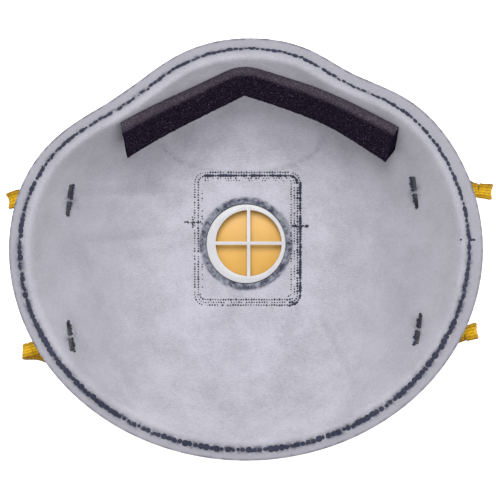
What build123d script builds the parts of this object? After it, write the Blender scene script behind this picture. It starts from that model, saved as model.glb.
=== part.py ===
from build123d import *
import os
from functools import cache
from math import acos, atan2, cos, degrees, exp, hypot, radians, sin, sqrt, tan

# A disposable cup respirator with an exhalation valve, in millimetres. It lies as it does on a table:
# on the flat front of its valve cover, with the hollow for the face upwards.
# +Z points to the wearer, +Y to the nose and -Y to the chin. The origin is on the table,
# under the centre of the rim.

# Rim, as the cup is cut from its flange
rim_half_width = 67.6
rim_half_height = 61.0
flange_width = 3.0
rim_height = 46.0
bow_radius = 400.0                  # the cheeks of the rim stand higher than nose and chin
shoulder_right = (58.0, 3.5, 10.0)  # angle, depth and spread of the cut beside the nose
shoulder_left = (130.0, 6.2, 15.0)

# Flat pad that the valve is welded to
pad_height = 10.0
pad_margin = 1.6
pad_squareness = 5.0

# Webs of the cup, from the outside in: name, thickness in the wall, on the pad and in the flange
webs = [
    ("outer_web", 0.5, 0.30, 0.30),
    ("filter_web", 0.7, 0.35, 0.30),
    ("support_shell", 0.8, 0.40, 0.40),
    ("carbon_web", 0.6, 0.35, 0.30),
    ("face_web", 0.4, 0.20, 0.20),
]
web_gap = 0.05
wall_roundness = 0.55               # share of a quarter circle in the wall's profile

# Nose foam and nose clip
# Points on the wall are set from the sides of the rim, and from its nose end
foam_ends = [
    (31.9 - rim_half_width, rim_half_height - 29.0),
    (-0.9, rim_half_height - 12.6),
    (rim_half_width - 25.8, rim_half_height - 30.5),
]
foam_width = 8.8
foam_thickness = 5.0
foam_top = rim_height - 5.0
film_spread = 1.045                 # the glued side of the foam lies this much further out than its middle
film_width = 4.0
adhesive_thickness = 0.15
clip_route = [
    (26.6 - rim_half_width, rim_half_height - 29.5),
    (43.6 - rim_half_width, rim_half_height - 15.0),
    (0.0, rim_half_height - 8.8),
    (rim_half_width - 43.6, rim_half_height - 13.0),
    (rim_half_width - 24.6, rim_half_height - 25.0),
]
clip_width = 3.6
clip_thickness = 0.8

# Exhalation valve
valve_centre = (0.6, 3.0)
plate_width = 34.0
plate_length = 41.6
plate_thickness = 1.2
plate_corner = 2.5
port_centre = (0.8, 1.8)
port_radius = 10.2
boss_centre = (0.0, 1.6)
boss_wall = 1.9                     # how much wider than the port its boss is, all round
boss_height = 1.7
boss_clearance = 0.3
bar_width = 1.0
bar_thickness = 1.0
seal_width = 0.7
seal_height = 0.35
flap_overlap = 1.4                  # how far the flap covers the plate around the port
flap_thickness = 0.35
flap_lift = 0.12                    # clearance between the flap and its seal
flap_neck_width = 13.0
hinge_margin = 2.4                  # from the port's edge to the line that the flap bends at
hinge_slit = 0.15
clamp_length = 3.4
cover_inset = 0.5
cover_wall = 1.2
cover_corner = 2.6
cover_edge = 0.9
slot_width = 1.8
slot_pitch = 3.4
slot_count = 5
slot_floor = 2.4
slot_top_land = 1.4

# Staples: a flat wire over the end of each band, with its legs turned in inside the cup
staple_length = 9.2
staple_wire_width = 1.1
staple_wire_thickness = 0.45
staple_tip = 4.0
staple_clearance = 0.15
staple_tip_lift = 0.5
staple_places = {
    "upper_left": ((13.7 - rim_half_width, 15.2), 8.0),    # place in plan, and lean towards +X in degrees
    "upper_right": ((rim_half_width - 15.8, 17.5), -8.0),
    "lower_left": ((14.4 - rim_half_width, -26.6), -10.0),
    "lower_right": ((rim_half_width - 15.1, -24.5), 10.0),
}

# Headbands: flat braided elastic
band_width = 4.8
band_thickness = 1.3
band_clearance = 0.45
band_end = 4.0                      # how far the band runs on inside its staple
band_knee = 1.0                     # where it leaves the wall, past the staple
band_break = 0.45                   # between a stapled end and the loop that swings
band_rest_gap = 0.4
band_rest_lean = 30.0               # lean of the band's width that its gap to the table allows for
corner_share = 0.45                 # share of its shorter run that an arc in a loop may take
root_height = rim_height - 5.0
band_roots = {
    "upper": ((2.4 - rim_half_width, 15.6), (rim_half_width - 0.2, 17.2)),
    "lower": ((5.6 - rim_half_width, -29.2), (rim_half_width - 4.2, -24.8)),
}
# Points of each loop in its own plane: along the line between its ends, and away from that line.
# They run from the left end to the right one.
upper_loop = [
    (-69.4, 0.0), (-72.4, 4.2), (-69.2, 10.6), (-62.0, 21.5), (-50.5, 32.5), (-35.0, 42.5), (-15.0, 49.0),
    (8.0, 50.0), (30.0, 46.5), (47.5, 37.0), (60.0, 24.0), (68.6, 11.2), (72.2, 4.6), (69.2, 0.0),
]
lower_loop = [
    (-65.7, 0.0), (-68.6, 4.1), (-66.0, 10.2), (-60.0, 20.0), (-49.0, 31.0), (-33.5, 40.5), (-13.0, 45.6),
    (9.0, 44.2), (29.5, 41.0), (46.5, 32.5), (58.0, 20.8), (65.4, 10.4), (68.2, 4.0), (65.5, 0.0),
]

section_points = 24
section_levels = 7
loft_top = rim_height + 12.0
slope_step = 0.5                    # half the span that the wall's slope is measured over
halvings = 40


def rim_radius(angle):
    """Distance of the rim's cut edge from its centre, at an angle in degrees from +X."""
    a = radians(angle)
    ellipse = 1 / hypot(cos(a) / rim_half_width, sin(a) / rim_half_height)
    for centre, depth, spread in (shoulder_right, shoulder_left):
        away = (angle - centre + 180) % 360 - 180
        ellipse -= depth * exp(-((away / spread) ** 2) / 2)
    return ellipse


def pad_radius(angle):
    """Edge of the flat pad: the valve's plate and a margin, with rounded corners."""
    a = radians(angle)
    across = abs(cos(a)) / (plate_width / 2 + pad_margin)
    along = abs(sin(a)) / (plate_length / 2 + pad_margin + valve_centre[1])
    return (across**pad_squareness + along**pad_squareness) ** (-1 / pad_squareness)


def wall_radius(angle, z, inset, lift):
    """Radius of the cup's surface at a height. inset and lift take it inwards and upwards."""
    weld = rim_radius(angle) - flange_width
    rim_z = rim_height + (weld * cos(radians(angle))) ** 2 / (2 * bow_radius)
    floor = pad_height + lift
    t = max(0.0, (z - floor) / (rim_z - floor))
    rise = sqrt(1 - (1 - min(t, 1.0)) ** 2)
    profile = wall_roundness * rise + (1 - wall_roundness) * t
    pad = pad_radius(angle)
    return pad + (weld - inset - pad) * profile


def polar(angle, radius, z):
    return (radius * cos(radians(angle)), radius * sin(radians(angle)), z)


def closed_face(radius_at, z):
    angles = [360 * k / section_points for k in range(section_points)]
    edge = Edge.make_spline([polar(a, radius_at(a), z) for a in angles], periodic=True)
    return Face(Wire([edge]))


@cache
def dome(inset, lift):
    """Solid hollow of the cup, from its pad to above its rim. Levels crowd together near the pad."""
    floor = pad_height + lift
    faces = []
    for k in range(section_levels):
        z = floor + (loft_top - floor) * (k / (section_levels - 1)) ** 2
        faces.append(closed_face(lambda a: wall_radius(a, z, inset, lift), z))
    return loft(faces)


def above_bow(depth):
    """Everything above the bowed surface that lies depth under the wearer's side of the flange."""
    radius = bow_radius + depth
    roll = Cylinder(radius, 4 * rim_half_height, rotation=(90, 0, 0))
    return Pos(0, 0, rim_height + bow_radius) * roll


def surface_height(x, y, inset, lift):
    """Height of the cup's surface over a point of the plan, found by halving."""
    angle = degrees(atan2(y, x))
    low, high = pad_height + lift, loft_top
    for _ in range(halvings):
        middle = (low + high) / 2
        if wall_radius(angle, middle, inset, lift) < hypot(x, y):
            low = middle
        else:
            high = middle
    return (low + high) / 2


def outer_point(x, y):
    return Vector(x, y, surface_height(x, y, 0, 0))


def inward_normal(x, y):
    slope_x = (outer_point(x + slope_step, y).Z - outer_point(x - slope_step, y).Z) / (2 * slope_step)
    slope_y = (outer_point(x, y + slope_step).Z - outer_point(x, y - slope_step).Z) / (2 * slope_step)
    return Vector(-slope_x, -slope_y, 1).normalized()


def wall_depth(x, y):
    """Thickness of all the webs along the normal at a point of the wall."""
    start, normal = outer_point(x, y), inward_normal(x, y)
    low, high = 0.0, 3 * wall_total
    for _ in range(halvings):
        middle = (low + high) / 2
        p = start + normal * middle
        inside = wall_radius(degrees(atan2(p.Y, p.X)), p.Z, wall_total, pad_total) > hypot(p.X, p.Y)
        low, high = (low, middle) if inside else (middle, high)
    return high


wall_total = sum(web[1] for web in webs)
pad_total = sum(web[2] for web in webs)
flange_total = sum(web[3] for web in webs)
outline = extrude(closed_face(rim_radius, 0), loft_top)
loop_points = {"upper": upper_loop, "lower": lower_loop}
valve_x, valve_y = valve_centre
port_x, port_y = port_centre
boss_radius = port_radius + boss_wall
flap_radius = port_radius + flap_overlap
plate_top = pad_height
plate_bottom = plate_top - plate_thickness
seal_face = plate_bottom - seal_height
flap_top = seal_face - flap_lift
flap_bottom = flap_top - flap_thickness
hinge_y = port_y + port_radius + hinge_margin
hinge_z = (flap_top + flap_bottom) / 2


def block(x_range, y_range, z_range):
    """A box between its limits on each axis."""
    size = [high - low for low, high in (x_range, y_range, z_range)]
    centre = [(high + low) / 2 for low, high in (x_range, y_range, z_range)]
    return Pos(*centre) * Box(*size)


def centred(middle, size):
    return (middle - size / 2, middle + size / 2)


def disc(centre, radius, z_range):
    low, high = z_range
    return Pos(centre[0], centre[1], (low + high) / 2) * Cylinder(radius, high - low)


# --- cup webs ---

def staple_frame(place):
    """Plane on the outer wall at a staple: x along the staple, z into the cup."""
    (x, y), lean = staple_places[place]
    normal = inward_normal(x, y)
    across, up = sin(radians(lean)), cos(radians(lean))
    along = Vector(across, up, -(normal.X * across + normal.Y * up) / normal.Z).normalized()
    return Plane(origin=outer_point(x, y), x_dir=along, z_dir=normal)


def staple_legs(place, clearance):
    """The two legs of a staple, or with a clearance the holes that they pass through."""
    (x, y), _ = staple_places[place]
    reach = staple_length / 2 - staple_wire_thickness / 2
    bottom = -(2 * band_clearance + band_thickness)
    top = wall_depth(x, y) + staple_tip_lift
    legs = []
    for side in (-1, 1):
        leg = block(
            centred(side * reach, staple_wire_thickness + 2 * clearance),
            centred(0, staple_wire_width + 2 * clearance),
            (bottom - clearance, top + clearance),
        )
        legs.append(staple_frame(place) * leg)
    return legs


def make_webs():
    """Each web is a shell of the cup and a ring of the flange, pierced for the valve and the staples."""
    holes = [leg for place in staple_places for leg in staple_legs(place, staple_clearance)]
    boss_hole = disc(boss_centre, boss_radius + boss_clearance, (0, rim_height))
    made = {}
    inset = lift = pressed = 0.0
    for name, wall, pad, flange in webs:
        outside = dome(inset, lift)
        inside = dome(inset + wall - web_gap, lift + pad - web_gap)
        top = above_bow(flange_total - pressed - flange + web_gap)
        bottom = above_bow(flange_total - pressed)
        shell = (outside - inside) - top
        ring = ((bottom - top) & outline) - inside
        made[name] = shell + ring - boss_hole - holes
        inset, lift, pressed = inset + wall, lift + pad, pressed + flange
    return made


# --- nose foam and clip ---

def strip(points, width, height=loft_top):
    """Upright prism over a strip of even width that follows a route in plan."""
    line = Polyline(*points)
    return extrude(trace(line, width), height)


def wall_patch(near, far, prism, lift_near, lift_far):
    return (dome(near, lift_near) - dome(far, lift_far)) & prism


def make_nose():
    foam_prism = strip(foam_ends, foam_width, foam_top)
    film_prism = strip([(x * film_spread, y * film_spread) for x, y in foam_ends], film_width, foam_top)
    clip_prism = strip(clip_route, clip_width)
    film_start = wall_total
    film_end = film_start + adhesive_thickness
    lift_end = pad_total + adhesive_thickness
    foam_near, foam_far = film_end + web_gap, film_end + foam_thickness
    clip_near = -(adhesive_thickness + web_gap)
    clip_far = clip_near - clip_thickness
    return {
        "foam_adhesive": wall_patch(film_start, film_end, film_prism, pad_total, lift_end),
        "nose_foam": wall_patch(foam_near, foam_far, foam_prism, lift_end + web_gap, lift_end + foam_thickness),
        "clip_adhesive": wall_patch(clip_near + web_gap, -web_gap, clip_prism, clip_near + web_gap, -web_gap),
        "nose_clip": wall_patch(clip_far, clip_near, clip_prism, clip_far, clip_near),
    }


# --- exhalation valve ---

def rounded_plate(width, length, corner, z_range):
    low, high = z_range
    face = Pos(valve_x, valve_y) * RectangleRounded(width, length, corner)
    return Pos(0, 0, low) * extrude(face, high - low)


def make_seat():
    """Welding plate with a boss in the cup's hole, a port with cross bars, a seal and a clamp pad."""
    boss_top = plate_top + boss_height
    seat = rounded_plate(plate_width, plate_length, plate_corner, (plate_bottom, plate_top))
    seat += disc(boss_centre, boss_radius, (plate_top, boss_top))
    seat += disc(port_centre, port_radius + seal_width, (seal_face, plate_bottom))
    seat += block(
        centred(port_x, flap_neck_width),
        (hinge_y + hinge_slit, hinge_y + hinge_slit + clamp_length),
        (flap_top, plate_bottom),
    )
    seat -= disc(port_centre, port_radius, (0, boss_top))
    bar_z = (boss_top - bar_thickness, boss_top)
    port_span = 2 * port_radius + seal_width
    seat += block(centred(port_x, port_span), centred(port_y, bar_width), bar_z)
    seat += block(centred(port_x, bar_width), centred(port_y, port_span), bar_z)
    return seat


def make_flap():
    thickness = (flap_bottom, flap_top)
    flap = disc(port_centre, flap_radius, thickness)
    flap += block(centred(port_x, flap_neck_width), (port_y, hinge_y), thickness)
    root = block(
        centred(port_x, flap_neck_width),
        (hinge_y + hinge_slit, hinge_y + hinge_slit + clamp_length),
        thickness,
    )
    return {"exhale_flap": flap, "flap_root": root}


def make_cover():
    """Shallow box over the flap, with air slots in its long sides and at its chin end."""
    width = plate_width - 2 * cover_inset
    length = plate_length - 2 * cover_inset
    cover = rounded_plate(width, length, cover_corner, (0, plate_bottom))
    front = cover.faces().sort_by(Axis.Z)[0]
    cover = fillet(front.edges(), cover_edge)
    cover -= rounded_plate(
        width - 2 * cover_wall, length - 2 * cover_wall, cover_corner - cover_wall, (cover_wall, plate_bottom)
    )
    cover += block(
        centred(port_x, flap_neck_width),
        (hinge_y + hinge_slit, hinge_y + hinge_slit + clamp_length),
        (cover_wall, flap_bottom),
    )
    slot_z = (slot_floor, plate_bottom - slot_top_land)
    for k in range(slot_count):
        shift = (k - (slot_count - 1) / 2) * slot_pitch
        side_slot = centred(port_y + shift - slot_pitch, slot_width)
        cover -= block(centred(valve_x, width + cover_wall), side_slot, slot_z)
        chin = valve_y - length / 2
        cover -= block(centred(valve_x + shift, slot_width), centred(chin, 3 * cover_wall), slot_z)
    return cover


# --- staples and headbands ---

def make_staple(place):
    """Crown outside over the band, legs through the wall, tips folded towards each other inside."""
    (x, y), _ = staple_places[place]
    crown_top = -(2 * band_clearance + band_thickness)
    tip_z = wall_depth(x, y) + staple_tip_lift
    crown = block(
        centred(0, staple_length), centred(0, staple_wire_width), (crown_top - staple_wire_thickness, crown_top)
    )
    made = staple_frame(place) * crown
    for leg in staple_legs(place, 0):
        made += leg
    for side in (-1, 1):
        middle = side * (staple_length - staple_tip) / 2
        tip = block(
            centred(middle, staple_tip),
            centred(0, staple_wire_width),
            centred(tip_z, staple_wire_thickness),
        )
        made += staple_frame(place) * tip
    return made


def make_band_end(band, side):
    """Stapled end of a band: flat on the wall under its staple, then straight out to the loop's root."""
    place = f"{band}_{side}"
    (x, y), _ = staple_places[place]
    root = Vector(*band_roots[band][0 if side == "left" else 1], root_height)
    normal = inward_normal(x, y)
    start = outer_point(x, y) - normal * (band_clearance + band_thickness / 2)
    across = normal.cross(root - start).normalized()
    flat = Plane(origin=start, x_dir=across.cross(normal), z_dir=normal)
    knee = start + flat.x_dir * band_knee
    run = (root - knee).normalized()
    length = (root - knee).length - band_break
    outward = Plane(origin=knee, x_dir=run, z_dir=run.cross(across))
    section = (centred(0, band_width), centred(0, band_thickness))
    end = flat * block((-band_end, band_knee), *section)
    end += outward * block((0, length), *section)
    return end - staple_legs(place, staple_clearance)


def loop_frame(band):
    """Plane of a loop: x between its ends, y away from them and down to the table."""
    left, right = (Vector(x, y, root_height) for x, y in band_roots[band])
    deepest = max(point[1] for point in loop_points[band])
    drop = root_height - band_width / 2 * sin(radians(band_rest_lean)) - band_thickness / 2 - band_rest_gap
    lean = acos(drop / deepest)
    along = (right - left).normalized()
    outward = 1 if band == "upper" else -1
    sideways = Vector(-along.Y, along.X, 0) * outward
    down = Vector(0, 0, -1) * cos(lean) + sideways * sin(lean)
    return Plane(origin=(left + right) / 2, x_dir=along, z_dir=along.cross(down))


def corner_radii(points):
    """The largest arc at each corner that leaves a little of its two runs straight."""
    radii = []
    for before, corner, after in zip(points, points[1:], points[2:]):
        first = Vector(*corner) - Vector(*before)
        second = Vector(*after) - Vector(*corner)
        half_turn = radians(first.get_angle(second)) / 2
        radii.append(corner_share * min(first.length, second.length) / tan(half_turn))
    return radii


def make_band_loop(band):
    left, right = (Vector(x, y, root_height) for x, y in band_roots[band])
    half_span = (right - left).length / 2 + band_break
    points = [(-half_span, 0.0)] + loop_points[band] + [(half_span, 0.0)]
    radii = corner_radii(points)
    print(band, "loop radii", [round(r, 1) for r in radii])
    path = FilletPolyline(*[(x, y, 0) for x, y in points], radius=radii)
    start = Plane(origin=path @ 0, x_dir=(0, 0, 1), z_dir=path % 0)
    section = start * Rectangle(band_width, band_thickness)
    ribbon = sweep(section, path=path)
    share = ribbon.volume / (band_width * band_thickness * path.length)
    print(band, "loop length", round(path.length, 1), "volume share", round(share, 4))
    return loop_frame(band) * ribbon


def write(name, shape):
    export_step(shape, f"parts/{name}.step")


os.makedirs("parts", exist_ok=True)
for name, web in make_webs().items():
    write(name, web)
for name, piece in make_nose().items():
    write(name, piece)
write("valve_seat", make_seat())
for name, piece in make_flap().items():
    write(name, piece)
write("valve_cover", make_cover())
for place in staple_places:
    write(f"staple_{place}", make_staple(place))
for band in band_roots:
    for side in ("left", "right"):
        write(f"headband_{band}_{side}_end", make_band_end(band, side))
    write(f"headband_{band}_loop", make_band_loop(band))
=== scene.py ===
import math
import bmesh
import bpy
from mathutils import Matrix, Vector, noise
from mathutils.bvhtree import BVHTree


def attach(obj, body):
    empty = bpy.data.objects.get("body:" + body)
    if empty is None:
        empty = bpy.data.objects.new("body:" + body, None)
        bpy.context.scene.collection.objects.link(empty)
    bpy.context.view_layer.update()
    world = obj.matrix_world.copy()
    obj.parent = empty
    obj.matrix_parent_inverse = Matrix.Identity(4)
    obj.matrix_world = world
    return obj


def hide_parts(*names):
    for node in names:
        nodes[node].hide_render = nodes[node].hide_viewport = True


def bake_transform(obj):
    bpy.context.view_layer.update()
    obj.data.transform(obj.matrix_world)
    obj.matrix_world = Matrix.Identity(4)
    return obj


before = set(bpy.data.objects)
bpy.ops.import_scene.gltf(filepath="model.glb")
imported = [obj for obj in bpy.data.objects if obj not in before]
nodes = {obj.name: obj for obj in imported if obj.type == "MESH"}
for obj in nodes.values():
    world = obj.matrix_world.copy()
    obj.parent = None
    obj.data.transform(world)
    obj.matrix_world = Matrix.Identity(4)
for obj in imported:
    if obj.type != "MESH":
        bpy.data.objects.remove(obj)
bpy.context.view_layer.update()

mm = 0.001
scene = bpy.context.scene
print("frame loaded:", len(nodes), "nodes")


# small helpers

def addMesh(name, verts, faces, material, smooth=True):
    mesh = bpy.data.meshes.new(name)
    mesh.from_pydata(verts, [], faces)
    mesh.validate()
    mesh.materials.append(material)
    mesh.polygons.foreach_set("use_smooth", [smooth] * len(mesh.polygons))
    piece = bpy.data.objects.new(name, mesh)
    scene.collection.objects.link(piece)
    return piece


def cleanNormals(piece, mergeDistance=1e-7):
    bm = bmesh.new()
    bm.from_mesh(piece.data)
    bmesh.ops.remove_doubles(bm, verts=bm.verts, dist=mergeDistance)
    bmesh.ops.recalc_face_normals(bm, faces=bm.faces)
    bm.to_mesh(piece.data)
    bm.free()


# plain mesh from a piece with its modifiers
def bakeModifiers(piece):
    depsgraph = bpy.context.evaluated_depsgraph_get()
    baked = bpy.data.meshes.new_from_object(piece.evaluated_get(depsgraph))
    piece.modifiers.clear()
    piece.data = baked


def blend01(low, high, value):
    t = min(1.0, max(0.0, (value - low) / (high - low)))
    return t * t * (3 - 2 * t)


def bump1(value, centre, width):
    return math.exp(-((value - centre) / width) ** 2)


# materials

def newGroup(name, inputs, outputs):
    group = bpy.data.node_groups.new(name, "ShaderNodeTree")
    for label, kind, value in inputs:
        socket = group.interface.new_socket(label, in_out="INPUT", socket_type=kind)
        if value is not None:
            socket.default_value = value
    for label, kind in outputs:
        group.interface.new_socket(label, in_out="OUTPUT", socket_type=kind)
    return group, group.nodes.new("NodeGroupInput"), group.nodes.new("NodeGroupOutput")


def mathNode(tree, operation, a, b=None, c=None):
    node = tree.nodes.new("ShaderNodeMath")
    node.operation = operation
    for slot, value in enumerate((a, b, c)):
        if value is None:
            continue
        if isinstance(value, (int, float)):
            node.inputs[slot].default_value = value
        else:
            tree.links.new(value, node.inputs[slot])
    return node.outputs[0]


def textureNode(tree, kind, vector, scale, **settings):
    node = tree.nodes.new(kind)
    for key, value in settings.items():
        if key in node.inputs:
            node.inputs[key].default_value = value
        else:
            setattr(node, key, value)
    if isinstance(scale, (int, float)):
        node.inputs["Scale"].default_value = scale
    else:
        tree.links.new(scale, node.inputs["Scale"])
    tree.links.new(vector, node.inputs["Vector"])
    return node


# matted fibres: fine hairs lying three ways, over soft clouds
def makeFibreGroup():
    group, source, sink = newGroup(
        "mattedFibre",
        [("Vector", "NodeSocketVector", None), ("Hair Scale", "NodeSocketFloat", 700.0),
         ("Cloud Scale", "NodeSocketFloat", 90.0)],
        [("Hairs", "NodeSocketFloat"), ("Clouds", "NodeSocketFloat"), ("Height", "NodeSocketFloat")])
    layers = []
    for turn, stretch in ((0.4, 5.0), (1.5, 4.0), (2.6, 6.0)):
        mapping = group.nodes.new("ShaderNodeMapping")
        mapping.inputs["Rotation"].default_value = (0.2 * turn, 0.3, turn)
        mapping.inputs["Scale"].default_value = (1.0, stretch, 1.0)
        group.links.new(source.outputs["Vector"], mapping.inputs["Vector"])
        hair = textureNode(group, "ShaderNodeTexNoise", mapping.outputs[0], source.outputs["Hair Scale"],
                           Detail=4.0, Roughness=0.62, Distortion=0.6)
        layers.append(hair.outputs["Fac"])
    most = mathNode(group, "MAXIMUM", mathNode(group, "MAXIMUM", layers[0], layers[1]), layers[2])
    clouds = textureNode(group, "ShaderNodeTexNoise", source.outputs["Vector"], source.outputs["Cloud Scale"],
                         Detail=5.0, Roughness=0.6)
    height = mathNode(group, "MULTIPLY_ADD", clouds.outputs["Fac"], 0.7, most)
    group.links.new(most, sink.inputs["Hairs"])
    group.links.new(clouds.outputs["Fac"], sink.inputs["Clouds"])
    group.links.new(height, sink.inputs["Height"])
    return group


# moulding grain and faint handling marks for plastic, rubber and metal
def makeGrainGroup():
    group, source, sink = newGroup(
        "mouldGrain",
        [("Vector", "NodeSocketVector", None), ("Grain Scale", "NodeSocketFloat", 1500.0)],
        [("Grain", "NodeSocketFloat"), ("Marks", "NodeSocketFloat")])
    grain = textureNode(group, "ShaderNodeTexNoise", source.outputs["Vector"], source.outputs["Grain Scale"],
                        Detail=3.0)
    marks = textureNode(group, "ShaderNodeTexNoise", source.outputs["Vector"], 160.0, Detail=6.0,
                        Roughness=0.7)
    group.links.new(grain.outputs["Fac"], sink.inputs["Grain"])
    group.links.new(marks.outputs["Fac"], sink.inputs["Marks"])
    return group


fibreGroup = makeFibreGroup()
grainGroup = makeGrainGroup()


def startMaterial(name, group, values):
    material = bpy.data.materials.new(name)
    material.use_nodes = True
    tree = material.node_tree
    shader = tree.nodes["Principled BSDF"]
    place = tree.nodes.new("ShaderNodeTexCoord").outputs["Object"]
    pattern = tree.nodes.new("ShaderNodeGroup")
    pattern.node_tree = group
    tree.links.new(place, pattern.inputs["Vector"])
    for key, value in values.items():
        pattern.inputs[key].default_value = value
    return material, tree, shader, pattern, place


def twoTone(tree, factor, low, high, fromLow=0.3, fromHigh=0.7):
    ramp = tree.nodes.new("ShaderNodeValToRGB")
    ramp.color_ramp.elements[0].position = fromLow
    ramp.color_ramp.elements[1].position = fromHigh
    ramp.color_ramp.elements[0].color = (*low, 1)
    ramp.color_ramp.elements[1].color = (*high, 1)
    tree.links.new(factor, ramp.inputs["Fac"])
    return ramp.outputs["Color"]


def mixColour(tree, factor, a, b, mode="MIX"):
    node = tree.nodes.new("ShaderNodeMix")
    node.data_type = "RGBA"
    node.blend_type = mode
    for socket, value in ((node.inputs[0], factor), (node.inputs[6], a), (node.inputs[7], b)):
        if isinstance(value, (int, float)):
            socket.default_value = value
        elif isinstance(value, tuple):
            socket.default_value = (*value, 1)
        else:
            tree.links.new(value, socket)
    return node.outputs[2]


def attributeValue(tree, name):
    node = tree.nodes.new("ShaderNodeAttribute")
    node.attribute_name = name
    return node.outputs["Fac"]


def addBump(tree, shader, height, distance, strength=1.0):
    bump = tree.nodes.new("ShaderNodeBump")
    bump.inputs["Distance"].default_value = distance
    bump.inputs["Strength"].default_value = strength
    tree.links.new(height, bump.inputs["Height"])
    tree.links.new(bump.outputs["Normal"], shader.inputs["Normal"])


def clothMaterial(name, low, high, bumpDepth=0.00018, hairScale=1150.0, sheen=0.25):
    material, tree, shader, pattern, place = startMaterial(name, fibreGroup, {"Hair Scale": hairScale})
    mixed = mathNode(tree, "MULTIPLY_ADD", pattern.outputs["Clouds"], 0.32,
                     mathNode(tree, "MULTIPLY", pattern.outputs["Hairs"], 0.68))
    colour = twoTone(tree, mixed, low, high, 0.40, 0.62)
    tree.links.new(colour, shader.inputs["Base Color"])
    shader.inputs["Roughness"].default_value = 0.95
    shader.inputs["Specular IOR Level"].default_value = 0.15
    shader.inputs["Sheen Weight"].default_value = sheen
    shader.inputs["Sheen Roughness"].default_value = 0.6
    addBump(tree, shader, pattern.outputs["Height"], bumpDepth)
    return material, tree, shader, colour, place


def linerMaterial():
    settings = {"low": (0.240, 0.234, 0.268), "high": (0.428, 0.419, 0.471), "carbonAndShade": (0.012, 0.014, 0.035),
                "flange": (0.225, 0.221, 0.252), "pressedDark": (0.022, 0.026, 0.048),
                "pressedPale": (0.235, 0.245, 0.29)}
    material, tree, shader, cloth, place = clothMaterial("faceWebCloth", settings["low"], settings["high"])
    # the flange mask also carries painted shade on the cup's side walls
    flange = mathNode(tree, "MULTIPLY", attributeValue(tree, "flange"), 0.75)
    cloth = mixColour(tree, flange, cloth, settings["flange"])
    # this dark mask mixes the carbon web showing at the welds with painted shade round the staples, along the
    # cut rim and in the arc's crease
    carbonAndShade = attributeValue(tree, "carbonAndShade")
    patches = textureNode(tree, "ShaderNodeTexNoise", place, 520.0, Detail=3.0, Roughness=0.6)
    patchy = mathNode(tree, "MULTIPLY", carbonAndShade,
                      mathNode(tree, "MULTIPLY_ADD", patches.outputs["Fac"], 4.6, -1.55))
    patchy.node.use_clamp = True
    colour = mixColour(tree, patchy, cloth, settings["carbonAndShade"])
    mottle = textureNode(tree, "ShaderNodeTexNoise", place, 480.0, Detail=5.0, Roughness=0.7)
    pressed = twoTone(tree, mottle.outputs["Fac"], settings["pressedDark"], settings["pressedPale"], 0.40,
                      0.62)
    colour = mixColour(tree, attributeValue(tree, "pressed"), colour, pressed)
    tree.links.new(colour, shader.inputs["Base Color"])
    return material


def foamMaterial():
    settings = {"dark": (0.0015, 0.001, 0.0035), "light": (0.016, 0.011, 0.022),
                "dustyLit": (0.075, 0.062, 0.08),
                "speck": (0.22, 0.20, 0.25), "poreScale": 2100.0}
    material, tree, shader, pattern, place = startMaterial("noseFoamCells", fibreGroup,
                                                           {"Hair Scale": 1600.0})
    pores = textureNode(tree, "ShaderNodeTexVoronoi", place, settings["poreScale"], feature="F1")
    cell = mathNode(tree, "MULTIPLY_ADD", pattern.outputs["Hairs"], 0.6, pores.outputs["Distance"])
    colour = twoTone(tree, cell, settings["dark"], settings["light"], 0.45, 1.0)
    # the upward-facing cut side takes a lighter dusty tone: the cut cells' own look plus painted light on
    # that face
    litCutSide = mathNode(tree, "MULTIPLY", attributeValue(tree, "litCutSide"),
                       mathNode(tree, "MULTIPLY", cell, 0.75))
    litCutSide.node.use_clamp = True
    colour = mixColour(tree, litCutSide, colour, settings["dustyLit"])
    fine = textureNode(tree, "ShaderNodeTexNoise", place, 3300.0, Detail=1.0)
    speck = mathNode(tree, "MULTIPLY_ADD", fine.outputs["Fac"], 9.0, -6.1)
    speck.node.use_clamp = True
    colour = mixColour(tree, speck, colour, settings["speck"])
    tree.links.new(colour, shader.inputs["Base Color"])
    shader.inputs["Roughness"].default_value = 1.0
    shader.inputs["Specular IOR Level"].default_value = 0.0
    addBump(tree, shader, cell, 0.0004)
    return material


def hardMaterial(name, low, high, roughness, metallic=0.0, coat=0.0, bumpDepth=0.00002, grainScale=1500.0):
    material, tree, shader, pattern, _ = startMaterial(name, grainGroup, {"Grain Scale": grainScale})
    tree.links.new(twoTone(tree, pattern.outputs["Marks"], low, high), shader.inputs["Base Color"])
    rough = mathNode(tree, "MULTIPLY_ADD", pattern.outputs["Marks"], 0.2, roughness - 0.1)
    tree.links.new(rough, shader.inputs["Roughness"])
    shader.inputs["Metallic"].default_value = metallic
    shader.inputs["Coat Weight"].default_value = coat
    addBump(tree, shader, pattern.outputs["Grain"], bumpDepth)
    return material


def elasticMaterial():
    settings = {"edge": (0.33, 0.17, 0.001), "core": (0.64, 0.37, 0.006), "shadow": (0.07, 0.025, 0.0)}
    material, tree, shader, pattern, _ = startMaterial("braidedElastic", fibreGroup, {"Hair Scale": 1500.0})
    across = attributeValue(tree, "across")
    # painted shade: the band darkens from its core towards its edges
    base = twoTone(tree, across, settings["core"], settings["edge"], 0.25, 0.95)
    groove = attributeValue(tree, "groove")
    colour = mixColour(tree, mathNode(tree, "MULTIPLY", groove, 0.75), base, settings["shadow"])
    tree.links.new(colour, shader.inputs["Base Color"])
    shader.inputs["Roughness"].default_value = 0.75
    shader.inputs["Sheen Weight"].default_value = 0.05
    shader.inputs["Specular IOR Level"].default_value = 0.15
    addBump(tree, shader, pattern.outputs["Hairs"], 0.0001)
    return material


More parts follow.
